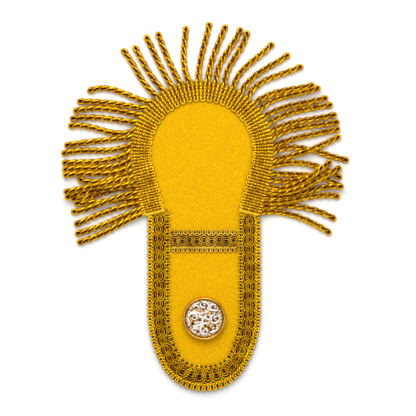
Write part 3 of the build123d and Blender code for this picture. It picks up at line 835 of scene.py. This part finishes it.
def cord_rows(route, index, line, heights):
    """Both plies of one cord, out to the loop at its tip and back, as rows like strand_rows'.

    The two halves of a ply lie along the cord where they show, which is on top. So their furrow
    turns round the ply against the ply's own way round the cord, and fades towards the sides. The
    furrow's painted shade, a dark streak on top of each ply, fades with it, so the cord's sides stay bright.
    """
    flat = curve_points(cord_knots(index, route), cord_points)
    coarse, run = distance_along(line), distance_along(flat)
    flat, run = flat[run < run[-1] - tip_trim], run[run < run[-1] - tip_trim]
    length = run[-1]
    level = np.interp(run, coarse * (length + tip_trim) / coarse[-1], heights)
    level = np.convolve(np.pad(level, 4, mode="edge"), np.ones(9) / 9, mode="valid")
    near_tip = ease((run - length + tip_run) / tip_run)
    level = level + cord_lift - tip_sink * near_tip * (level < cord_radius + 0.3)
    ahead = unit(np.gradient(flat, axis=0))
    left = np.column_stack([-ahead[:, 1], ahead[:, 0]])
    loose = 1.0 + 0.06 * wander(index, 5)
    half_turns = max(2, round(2 * length / (ply_lay * loose)))
    rate = ease((run + twist_start) / twist_run) * ease((length - run) / twist_run) + 1e-6
    twist = np.concatenate([[0], np.cumsum((rate[1:] + rate[:-1]) / 2 * np.diff(run))])
    phase = -pi * half_turns * twist / twist[-1]
    swing = ply_swing + (tip_loop - ply_swing) * ease((run - length + tip_spread) / tip_spread)
    root = strand_width(route, index + 0.5, 0)
    grown = ease(run / ply_growth)
    girth = (root + (ply_radius - root) * grown) * (1 - 0.06 * near_tip)
    oval = 1 + (ply_width - 1) * grown * (1 - 0.65 * near_tip)
    join = ease(run / ply_join)[:, None]
    centre = np.column_stack([flat, level])
    sides = []
    for hand, share in ((0, 0.25), (1, 0.75)):
        s, flare = seat_place(route, index + share)
        angle = phase + pi * hand
        helix = np.column_stack([
            flat + (swing * np.cos(angle))[:, None] * left, level + swing * np.sin(angle),
        ])
        strand = np.array([(*route.beside(s, flare + r), felt_top + strand_radius) for r in run])
        place = strand * (1 - join) + helix * join
        axis = (strand - strand_depth * UP) * (1 - join) + centre * join
        reach = np.linalg.norm(place - axis, axis=1) + girth
        way = 1 - 2 * hand
        past_top = (angle + pi / 2) % (2 * pi) - pi
        spin = 2 * (pi / 2 - way * (furrow_turn * past_top + furrow_lead))
        pair = join[:, 0] * (1 - near_tip) * ease((np.cos(past_top) - furrow_edge) / furrow_fade)
        sides.append(np.column_stack([
            place, girth, axis, reach, oval, join[:, 0] * (1 - 0.4 * near_tip),
            -pair * np.cos(spin), -pair * np.sin(spin),
        ]))
    first, second = sides
    middle = (first[-1] + second[-1]) / 2
    across = first[-1, :3] - middle[:3]
    outward = np.array([*ahead[-1], -tip_droop])
    loop = []
    for turn in np.linspace(0, pi, 9)[1:-1]:
        place = middle[:3] + across * cos(turn) + tip_loop * outward * sin(turn)
        loop.append([*place, girth[-1], *middle[:3], 0.85 * (tip_loop + girth[-1]), 1, tip_plied, 0, 0])
    return list(first) + loop + list(second[::-1])


def make_fringe(gold, binding, backing):
    """The bullion fringe: one yarn that runs out as a cord, back, and round to the next one."""
    route = heading_route()
    lines = []
    for index in range(cord_count):
        s, flare = seat_place(route, index + 0.5)
        root = np.array(route.beside(s, flare - cord_seat_depth))
        lines.append(np.vstack([root, curve_points(cord_knots(index, route), cord_steps)]))
    heights = lay_cords(lines)
    inner = loop_radius + loop_reach - heading_width
    thirds = (("fringe_left", 0, 19), ("fringe_top", 19, 38), ("fringe_right", 38, cord_count))
    for name, start, end in thirds:
        rows = []
        for index in range(start, end):
            rows += hairpin_rows(route, index, inner, pi / 2, pi)
            rows += strand_rows(route, index + 0.25, inner)[1:-1]
            rows += cord_rows(route, index, lines[index][1:], heights[index][1:])
            rows += strand_rows(route, index + 0.75, inner)[::-1][1:-1]
            rows += hairpin_rows(route, index + 1, inner, 0, pi / 2)[:-1]
        line = even(np.array(rows), yarn_step)
        plied = line[:, 9]
        spool = Spool()
        spool.yarn(line[:, :3], line[:, 3], sides=16, axis=line[:, 4:7], reach=line[:, 7], oval=line[:, 8],
                   tone=0.015 * (1 - plied), plied=plied, furrow=line[:, 10:])
        spool.piece(name, gold, "bullion", "fringe")
    make_warps(route, binding)
    make_heading_tape(route, backing)


def make_warps(route, binding):
    """The thin threads that bind the heading, in pairs that cross between one strand and the next.

    At either end of the heading two thicker yarns, one beside the other, cover the cut.
    """
    spool = Spool()
    places = np.linspace(0.06, cord_count - 0.06, cord_count * warp_steps)
    for row in range(warp_rows):
        for hand in (-1, 1):
            line = []
            for place in places:
                stray = 0.10 * wander(row, round(place * 2))
                x, y = route.beside(seat_place(route, place)[0], -first_warp - row * warp_pitch + stray)
                rise = warp_lift * hand * cos(2 * pi * (place - 0.25))
                line.append((x, y, felt_top + strand_radius + rise))
            spool.yarn(even(np.array(line), 0.25), warp_radius, sides=6)
    for s, outward in ((0, -1), (route.length, 1)):
        lefts = np.arange(-heading_width + 0.4, heading_flare(route, s) - 0.2, 0.3)
        for row, (beyond, height, girth) in enumerate(end_yarns):
            places = [s + outward * (beyond + 0.12 * wander(row, i // 3)) for i in range(len(lefts))]
            spool.yarn(smooth(route.lay(places, lefts, felt_top + height), 0.2), girth, tone=0.1)
    spool.piece("heading_warps", binding, "bullion", "fringe")


def make_heading_tape(route, backing):
    """The ground under the strands, a little narrower than they are, near black as painted shade under and
    between them.
    """
    def section(s):
        outer, inner = heading_flare(route, s) + 0.3, -heading_width + 1.4
        low, high = felt_top, felt_top + heading_tape_thickness
        return [(outer, low), (outer, high), (inner, high), (inner, low)]

    spool = Spool()
    # crest 0.1: near black, painted shade
    spool.band(route, np.linspace(0.3, route.length - 0.3, 220), section, 0.1)
    spool.piece("heading_tape", backing, "bullion", "fringe")


def picot_line(route, marks, tip, base, height, rise):
    """A yarn that goes out to a round loop in each step of the marks and back under the header.

    The tip and the base are distances from the route's edge, as functions of the place.
    """
    half = 0.25 * (marks[1] - marks[0])
    rows = []
    for start, end in zip(marks, marks[1:]):
        middle, foot = (start + end) / 2, (end - start) / 2 - half
        far, near = tip(middle), base(middle)
        inward = 1 if near > far else -1
        round_middle = far + inward * half
        neck = round_middle + inward * 1.3 * half
        rows.append((middle - 0.62 * half, neck, height))
        for turn in np.linspace(-pi / 2, pi / 2, 11):
            rows.append((middle + half * sin(turn), round_middle - inward * half * cos(turn), height))
        rows.append((middle + 0.62 * half, neck, height))
        for turn in (0.25, 0.5, 0.75):
            rows.append((middle + half + foot * (1 - cos(pi * turn)), near + inward * foot * sin(pi * turn),
                         height + rise * sin(pi * turn)))
    return even(smooth(route.lay(*np.transpose(rows)), 0.12), 0.28)


def smooth(line, step):
    """A finer line with its corners rounded off."""
    fine = even(line, step)
    for _ in range(3):
        fine[1:-1] = (fine[:-2] + 2 * fine[1:-1] + fine[2:]) / 4
    return fine


def twisted_row(spool, route, s, left, height, swing, girth, lay):
    """A small two-ply cord laid along the braid."""
    centre = route.lay(s, left, height)
    for hand in (0, 1):
        angle = -2 * pi * s / lay + pi * hand
        line = route.lay(s, left + swing * np.cos(angle), height + swing * np.sin(angle))
        spool.yarn(line, girth, axis=centre, tone=0.1, closed_ends=False)


def wave_line(route, marks, centre, reach, sign, skew, lane, height):
    """One yarn of an interlaced wave, with the tone of each point as a fourth column.

    The lane is how far beside the wave's middle the yarn turns. Where the wave crosses from side to
    side its yarns lie close together, and in a turn the innermost one lies deepest, its tone lowered there
    as painted shade.
    """
    t = np.linspace(0, len(marks) - 1, (len(marks) - 1) * wave_steps + 1)
    s = np.interp(t, range(len(marks)), marks)
    slide = skew(s) * np.sin(2 * pi * t)
    lefts = centre(s) + sign * reach(s) * np.sin(pi * t)
    middle = route.lay(s - slide, lefts, 0)
    side = np.cross(UP, unit(np.gradient(middle, axis=0)))
    turn = np.sin(pi * t)
    closeness = wave_huddle + (1 - wave_huddle) * np.abs(turn)
    line = middle + (lane * closeness)[:, None] * side
    depth = np.maximum(0, -sign * turn * np.sign(lane))
    line[:, 2] = height(t) - wave_sink * depth
    return even(smooth(np.column_stack([line, -wave_shade * depth]), 0.15), 0.3)


def make_edge_braid(gold, backing):
    """The gimp braid round the strap, which spreads round the tail."""
    route, slant = braid_route()
    tip = route.legs[0][0] + route.legs[1][0] + route.legs[2][0] / 2

    def spread(s):
        return np.cos(pi / 2 * np.minimum(1, np.abs(np.asarray(s) - tip) / spread_run)) ** 2

    stretch = 1 + 2 * slant / route.length
    inner_marks = [s * stretch - slant for s in route.marks(picot_pitch, picot_gather)]
    make_braid("edge_braid", route, route.marks(picot_pitch), inner_marks,
               route.marks(circle_pitch, braid_width / 2), spread, slant, gold, backing, 1.0, 0.0)


def make_braid(name, route, outer_marks, inner_marks, crossings, spread, slant, gold, backing, fineness,
               ground):
    """Both edges of loops, the rows that hold them, the interlaced waves and the ground tape.

    The marks say where each loop ends, and the slant how much longer the inner edge is at each end.
    The ground is how light the tape is under the waves, where its darkness is painted shade.
    """
    def header(s):
        return header_left + header_spread * spread(s)

    def inner_edge(s):
        return braid_width + braid_spread * spread(s)

    def footer(s):
        return inner_edge(s) - footer_left

    outer_pitch, inner_pitch = outer_marks[1] - outer_marks[0], inner_marks[1] - inner_marks[0]
    edges = Spool()
    edges.yarn(picot_line(route, outer_marks, lambda s: 0.48, header, felt_top + picot_height, -0.1),
               min(outer_picot_yarn, 0.18 * outer_pitch), tone=0.04)
    edges.yarn(picot_line(route, inner_marks, lambda s: inner_edge(s) - inner_picot_yarn, footer,
                          felt_top + picot_height, 0.1), inner_picot_yarn, tone=0.06)
    rows = np.arange(0.2, route.length - 0.2, 0.2)
    twisted_row(edges, route, rows, header(rows), felt_top + header_height, 0.32, 0.54,
                1.15 * outer_pitch)
    rows = np.linspace(-slant + 0.3, route.length + slant - 0.3, len(rows))
    twisted_row(edges, route, rows, footer(rows), felt_top + footer_height, 0.24, 0.26, 2 * inner_pitch)
    edges.piece(name + "_picots", gold, "gimp", name)

    def centre(s):
        return braid_width / 2 + wave_shift * spread(s)

    def skew(s):
        return 0.33 + 0.15 * spread(s)

    # Each line's lane, share of the reach, side, height where it crosses, rise in its turns, how far it
    # goes over and under by turns, share of the yarn's radius, and tone, lower on the yarns that cross
    # low as painted shade.
    lines = []
    for lane in (-1, 0, 1):
        lines += [(lane, 1, -1, 0.72, 0.48, 0, 1, -0.075), (lane, 1, 1, 1.60, -0.25, 0, 1, -0.04)]
    lines += [(0, core_share, side, 0.95, 0, 0.1, 0.72, 0.01) for side in (-1, 1)]
    waves = Spool()
    for lane, share, side, height, rise, weave, girth, tone in lines:
        line = wave_line(
            route, crossings, centre, lambda s: share * (wave_reach + wave_spread * spread(s)), side, skew,
            lane * wave_lane * fineness,
            lambda t: felt_top + height + rise * np.abs(np.sin(pi * t)) + weave * side * np.cos(pi * t),
        )
        waves.yarn(line[:, :3], girth * wave_yarn * fineness, tone=line[:, 3] + tone)
    waves.piece(name + "_waves", gold, "gimp", name)

    def section(s):
        inner = braid_width - 1.3 + braid_spread * float(spread(s))
        low, high = felt_top, felt_top + braid_tape_thickness
        lefts = (0.75, 2.2, 3.1, inner - 3.2, inner - 2.6, inner - 1.9, inner - 1.4, inner)
        return [(0.75, low), *[(left, high) for left in lefts], (inner, low)]

    # The tape's crests are painted shade: near black under the outer loops, where it darkens their eyes and
    # gaps, and under the rows; as light as the ground under the waves; a little lighter short of the inner
    # loops.
    tape = Spool()
    tape.band(route, np.linspace(0.1, route.length - 0.1, max(30, int(route.length))), section,
              (0, 0, 0, ground, ground, 0.3, 0.3, 0, 0, 0))
    tape.piece(name + "_tape", backing, "gimp", name)


def braid_route():
    """The strap's outer edge, between tops that are cut parallel to the ends of the heading.

    With it comes the slant, by which the inner edge goes on past the outer one at each end.
    """
    heading = heading_route()
    slope = sin(radians(neck_taper)) / cos(radians(neck_taper))
    tops = []
    for s in (0, heading.length):
        x, y = heading.beside(s, heading_flare(heading, s))
        tops.append(y - butt_gap - slope * (strap_half_width - abs(x)))
    return strap_route(*tops), slope * braid_width


def make_cross_braid(gold, backing):
    """The short braid over the neck, its ends under the loops of the edge braid."""
    half = strap_half_width - braid_width - butt_gap
    route = Route((-half, cross_braid_y - braid_width / 2), 0, [(2 * half, 0)])
    marks = route.marks(cross_picot_pitch)
    make_braid("cross_braid", route, marks, marks, route.marks(cross_circle_pitch),
               lambda s: 0 * np.asarray(s), 0, gold, backing, 0.82, 0.2)


def keyhole_row(y, sides):
    """The felt's left and right edge at y."""
    found = []
    for points in sides:
        for (x0, y0), (x1, y1) in zip(points, points[1:]):
            if min(y0, y1) <= y <= max(y0, y1) and y0 != y1:
                found.append(x0 + (x1 - x0) * (y - y0) / (y1 - y0))
    return min(found), max(found)


def make_felt(felt):
    """The pad, cut in a keyhole shape, with a soft edge and a surface that isn't quite flat."""
    heading = heading_route()
    head = [heading.beside(s, -felt_inset) for s in np.linspace(0, heading.length, 400)]
    strap_top = head[0][1] + heading_width
    strap = strap_route(strap_top, strap_top)
    tail = [strap.beside(s, felt_inset) for s in np.linspace(0, strap.length, 500)]
    low, high = min(p[1] for p in tail), max(p[1] for p in head)
    columns = 0.5 - 0.5 * np.cos(np.linspace(0, pi, 60))
    just_inside = 0.9999
    rows = (low + high) / 2 - (high - low) / 2 * just_inside * np.cos(np.linspace(0, pi, 150))
    rings, widths = [], []
    for y in rows:
        left, right = keyhole_row(y, (head, tail))
        x = left + (right - left) * columns
        from_edge = np.minimum(np.minimum(x - left, right - x), min(y - low, high - y))
        rounded = 0.6 * felt_edge_round * (1 - ease(from_edge / felt_edge_round))
        ripple = felt_ripple * (np.sin(x / 7.3 + y / 11.0) * np.sin(y / 8.7 - x / 13.0) - 1)
        top = felt_thickness - rounded + ripple * ease(from_edge / 9.0)
        upper = np.column_stack([x, np.full_like(x, y), top])
        lower = np.column_stack([x, np.full_like(x, y), 0.25 * rounded])[::-1]
        rings.append(np.vstack([upper, lower]))
        widths.append(right - left)
    widths = np.array(widths)
    spool = Spool()
    rings = np.array(rings)
    spool.add(rings, np.ones(rings.shape[:2]), rows - rows[0], felt_girth)
    piece = spool.piece("felt_pad", felt, "felt", "felt_body")
    cut_post_hole(piece)


def cut_post_hole(piece):
    """Cuts the hole for the button's post through the felt."""
    bpy.ops.mesh.primitive_cylinder_add(vertices=48, radius=post_hole_radius * MM, depth=20 * MM,
                                        location=(0, button_y * MM, 0))
    punch = bpy.context.object
    cut = piece.modifiers.new("post_hole", "BOOLEAN")
    cut.operation, cut.solver, cut.object = "DIFFERENCE", "EXACT", punch
    depsgraph = bpy.context.evaluated_depsgraph_get()
    mesh = bpy.data.meshes.new_from_object(piece.evaluated_get(depsgraph))
    piece.modifiers.clear()
    piece.data = mesh
    bpy.data.objects.remove(punch)


def turned(profile, segments=128):
    """Rings of a body turned about the button's axis, from (radius, height) pairs."""
    angles = 2 * pi * np.arange(segments) / segments
    return np.array([
        np.column_stack([r * np.cos(angles), button_y + r * np.sin(angles), np.full(segments, z)])
        for r, z in profile
    ])


def round_corners(profile, radius=0.35):
    """The profile with each corner cut by three points of a small arc."""
    points = [profile[0]]
    for before, corner, after in zip(profile, profile[1:], profile[2:]):
        before, corner, after = (np.array(p, float) for p in (before, corner, after))
        back, on = before - corner, after - corner
        cut = min(radius, 0.45 * np.linalg.norm(back), 0.45 * np.linalg.norm(on))
        a, b = corner + unit(back) * cut, corner + unit(on) * cut
        for t in (0, 0.33, 0.67, 1):
            points.append(tuple((1 - t) ** 2 * a + 2 * t * (1 - t) * corner + t * t * b))
    return points + [profile[-1]]


def make_button_case(gilt):
    """The gilt cup: a foot, a flared wall, a rolled rim and the floor of the cup."""
    outer = button_diameter / 2
    inner = outer - rim_width
    top = felt_top + button_height
    floor = top - cup_depth
    rings = turned(round_corners([
        (0.01, felt_top), (button_foot_diameter / 2, felt_top), (outer, felt_top + button_flare_height),
        (outer, top - 0.9), (outer - 0.3, top - 0.3), (outer - 0.75, top), (inner + 0.2, top - 0.1),
        (inner, top - 0.5), (inner - 0.1, floor), (0.01, floor),
    ]))
    spool = Spool()
    spool.add(rings[:, ::-1], np.ones(rings.shape[:2]), distance_along(rings[:, 0]), 2 * pi * outer)
    spool.piece("button_cup", gilt, "gilt", "button_case")


def scroll_line(scroll, radius):
    """The middle line of a scroll: half circles that shrink turn by turn."""
    size = scroll.size * radius
    centre = np.array([scroll.x * radius, scroll.y * radius])
    angle, left, points = scroll.start, scroll.turn, []
    while left > 0:
        sweep = min(180, left)
        for a in np.linspace(0, sweep, max(3, int(sweep / 9))):
            turn = radians(angle + scroll.hand * a)
            points.append(centre + size * np.array([cos(turn), sin(turn)]))
        angle += scroll.hand * sweep
        left -= sweep
        turn = radians(angle)
        centre = centre + size * (1 - scroll_turn_shrink) * np.array([cos(turn), sin(turn)])
        size *= scroll_turn_shrink
    return np.array(points)


def make_button_disc(silver, ground, dark):
    """The pierced disc in the cup: a gilt ground over a black sheet of painted shade, with silvered scrolls
    on it.
    """
    radius = button_diameter / 2 - rim_width - groove_width
    base = felt_top + button_height - cup_depth + 0.05
    # a thin black sheet just under the ground: painted shade seen through its holes
    rings = turned([(0.01, base - 0.04), (radius, base - 0.04), (radius, base), (0.01, base)])
    shade_sheet = Spool()
    shade_sheet.add(rings[:, ::-1], np.ones(rings.shape[:2]), np.zeros(4), 1.0)
    shade_sheet.piece("button_hole_shade", dark, "silvered", "button_filigree")
    place_piece("button_ground", pierced_disc(radius, base), ground, "silvered", "button_filigree")
    relief = disc_relief(radius, base + disc_thickness)
    relief.piece("button_scrolls", silver, "silvered", "button_filigree")


def pierced_disc(radius, base):
    """The mesh of the disc's ground, a flat plate with its holes."""
    curve = bpy.data.curves.new("button_ground", "CURVE")
    curve.dimensions, curve.fill_mode = "2D", "BOTH"
    curve.extrude = disc_thickness / 2 * MM
    curve.bevel_depth = 0.04 * MM
    circles = [(0, 0, radius - 0.05, 96)]
    circles += [(x, y, 1.15 * size, 20) for x, y, size in np.array(holes) * radius]
    for x, y, reach, count in circles:
        spline = curve.splines.new("POLY")
        spline.points.add(count - 1)
        for i, point in enumerate(spline.points):
            turn = 2 * pi * i / count
            point.co = ((x + reach * cos(turn)) * MM, (button_y + y + reach * sin(turn)) * MM, 0, 1)
        spline.use_cyclic_u = True
    holder = bpy.data.objects.new("button_ground_curve", curve)
    bpy.context.scene.collection.objects.link(holder)
    depsgraph = bpy.context.evaluated_depsgraph_get()
    mesh = bpy.data.meshes.new_from_object(holder.evaluated_get(depsgraph))
    mesh.transform(Matrix.Translation((0, 0, (base + disc_thickness / 2) * MM)))
    bpy.data.objects.remove(holder)
    return mesh


def disc_relief(radius, height):
    """The disc's scrolls with their buds and leaves, the stems between them and a ring of leaves."""
    relief = Spool()
    for scroll in scrolls:
        middle = scroll_line(scroll, radius)
        line = even(np.column_stack([middle, np.zeros(len(middle))]), 0.22)
        line[:, 1] += button_y
        share = np.linspace(0, 1, len(line))
        line[:, 2] = height + 0.1 + 0.2 * np.sin(pi * share)
        girth = clear_of_holes(line, (0.30 + 2.2 * scroll.size) * (1 - 0.32 * share), radius)
        relief.yarn(line, girth / relief_oval, sides=12, oval=relief_oval)
        relief_bud(relief, line[-1], clear_of_holes(line[-1:], 0.24 + 1.9 * scroll.size, radius)[0])
        add_leaves(relief, line, girth, scroll, radius)
    for stem in stems:
        knots = np.column_stack([np.array(stem) * radius + (0, button_y), np.full(len(stem), height + 0.12)])
        line = smooth(smooth(knots, 1.0), 0.22)
        girth = clear_of_holes(line, 0.40 + 0.28 * np.sin(pi * np.linspace(0, 1, len(line))), radius)
        relief.yarn(line, girth / relief_oval, sides=12, oval=relief_oval)
    reach = np.linspace(-1, 1, 9)
    for turn in 2 * pi * np.arange(leaf_count) / leaf_count:
        slant = turn + radians(leaf_slant)
        along, ring = leaf_half_length * reach, radius - leaf_ring_depth
        line = np.column_stack([
            ring * cos(turn) + along * cos(slant), button_y + ring * sin(turn) + along * sin(slant),
            height + 0.05 + 0.1 * np.cos(reach * 1.6),
        ])
        relief.yarn(line, 0.5 * np.cos(reach * 1.3), closed_ends=False)
    return relief


def clear_of_holes(line, girth, radius):
    """The girth of a scroll at each point, thinned where it passes a hole of the disc."""
    places = np.array(holes) * radius
    gaps = np.linalg.norm(line[:, None, :2] - (0, button_y) - places[:, :2], axis=2) - 0.9 * places[:, 2]
    return np.minimum(girth, np.maximum(0.14, gaps.min(axis=1)))


def add_leaves(spool, line, girth, scroll, radius):
    """Leaves that spring from the outside of a scroll's first turn, each over the foot of the next."""
    ahead = unit(np.gradient(line, axis=0))
    for leaf_number in range(7):
        share = 0.01 + 0.065 * leaf_number
        length = (6.4 * scroll.size + 0.5) * (1 - 0.07 * leaf_number)
        i = int(share * len(line))
        away = scroll.hand * np.array([ahead[i, 1], -ahead[i, 0], 0])
        reach = np.linspace(0, length, 8)[:, None]
        leaf = line[i] + away * (0.5 * girth[i] + 0.75 * reach) + ahead[i] * reach * (0.3 + 0.25 * reach)
        leaf[:, 2] = line[i, 2] - 0.2 * reach[:, 0]
        if np.linalg.norm(leaf[-1, :2] - (0, button_y)) < button_diameter / 2 - rim_width - 0.8:
            width = 0.46 * np.cos(1.25 * reach[:, 0] / length)
            spool.yarn(leaf, clear_of_holes(leaf, width, radius), closed_ends=False)


def relief_bud(spool, centre, radius):
    """A round bud at the end of a scroll."""
    turns = np.linspace(-pi / 2 + 0.15, pi / 2 - 0.15, 7)
    line = centre + np.outer(radius * np.sin(turns), (1, 0, 0))
    spool.yarn(line, radius * np.cos(turns), sides=12, closed_ends=False)


def make_floor():
    """The flat surface on which the epaulette lies."""
    bpy.ops.mesh.primitive_plane_add(size=3.0, location=(0, 0, 0))
    floor = bpy.context.object
    floor.name = "floor"
    floor.data.materials.append(white_board())


def make_lights():
    """Soft light: a large lamp beyond the head, a weaker one nearer over the head, a pale surround."""
    scene = bpy.context.scene
    world = bpy.data.worlds.new("studio")
    world.use_nodes = True
    back = world.node_tree.nodes["Background"]
    back.inputs["Color"].default_value = (1.0, 1.0, 1.0, 1.0)
    back.inputs["Strength"].default_value = 0.58
    scene.world = world
    for name, place, size, power in (
        ("key", (-0.10, 0.46, 0.78), 0.55, 5.9),
        ("top", (0.07, 0.07, 0.62), 0.5, 1.42),
    ):
        light = bpy.data.lights.new(name, "AREA")
        light.shape, light.size, light.energy = "SQUARE", size, power
        lamp = bpy.data.objects.new(name, light)
        lamp.location = place
        lamp.rotation_euler = Vector(place).to_track_quat("Z", "Y").to_euler()
        scene.collection.objects.link(lamp)
    scene.view_settings.view_transform = "Standard"
    scene.view_settings.look = "None"


def make_camera():
    """Straight above, with a long lens, framed as the photograph is. Lens and sensor are in mm."""
    frame_width = 0.2226
    centre = (0.00203, -0.00080)
    lens, sensor = 150.0, 36.0
    data = bpy.data.cameras.new("overhead")
    data.lens, data.sensor_width = lens, sensor
    data.clip_start = 0.01
    camera = bpy.data.objects.new("overhead", data)
    camera.location = (*centre, felt_top * MM + frame_width * lens / sensor)
    bpy.context.scene.collection.objects.link(camera)
    bpy.context.scene.camera = camera


make_floor()
make_lights()
make_camera()
thread = bullion_gold()
gimp = gimp_gold()
binding = antique_gold()
tape = brown_tape()
gilt = polished_metal("gilt_brass", [(0.3, "#C08820"), (0.7, "#F4CC64")], 0.24, 3.0)
make_felt(wool_felt())
make_fringe(thread, binding, tape)
make_edge_braid(gimp, tape)
make_cross_braid(warm_gimp_gold(), tape)
make_button_case(gilt)
# by crest: silver on the crests, gold and brown down their sides as painted shade
silvered_stops = [(0.72, "#7A4A0C"), (0.79, "#D8A448"), (0.86, "#D2C8B8"), (1.0, "#E0DAD2")]
ground_stops = [(0.36, "#5A3208"), (0.50, "#946420"), (0.62, "#D4AC6C")]
make_button_disc(
    polished_metal("silvered_brass", silvered_stops, 0.55, 1.2, relief=True),
    polished_metal("gilt_ground", ground_stops, 0.5, 1.3),
    hole_shade_sheet(),
)
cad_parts["button_post"].data.materials.clear()
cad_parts["button_post"].data.materials.append(gilt)
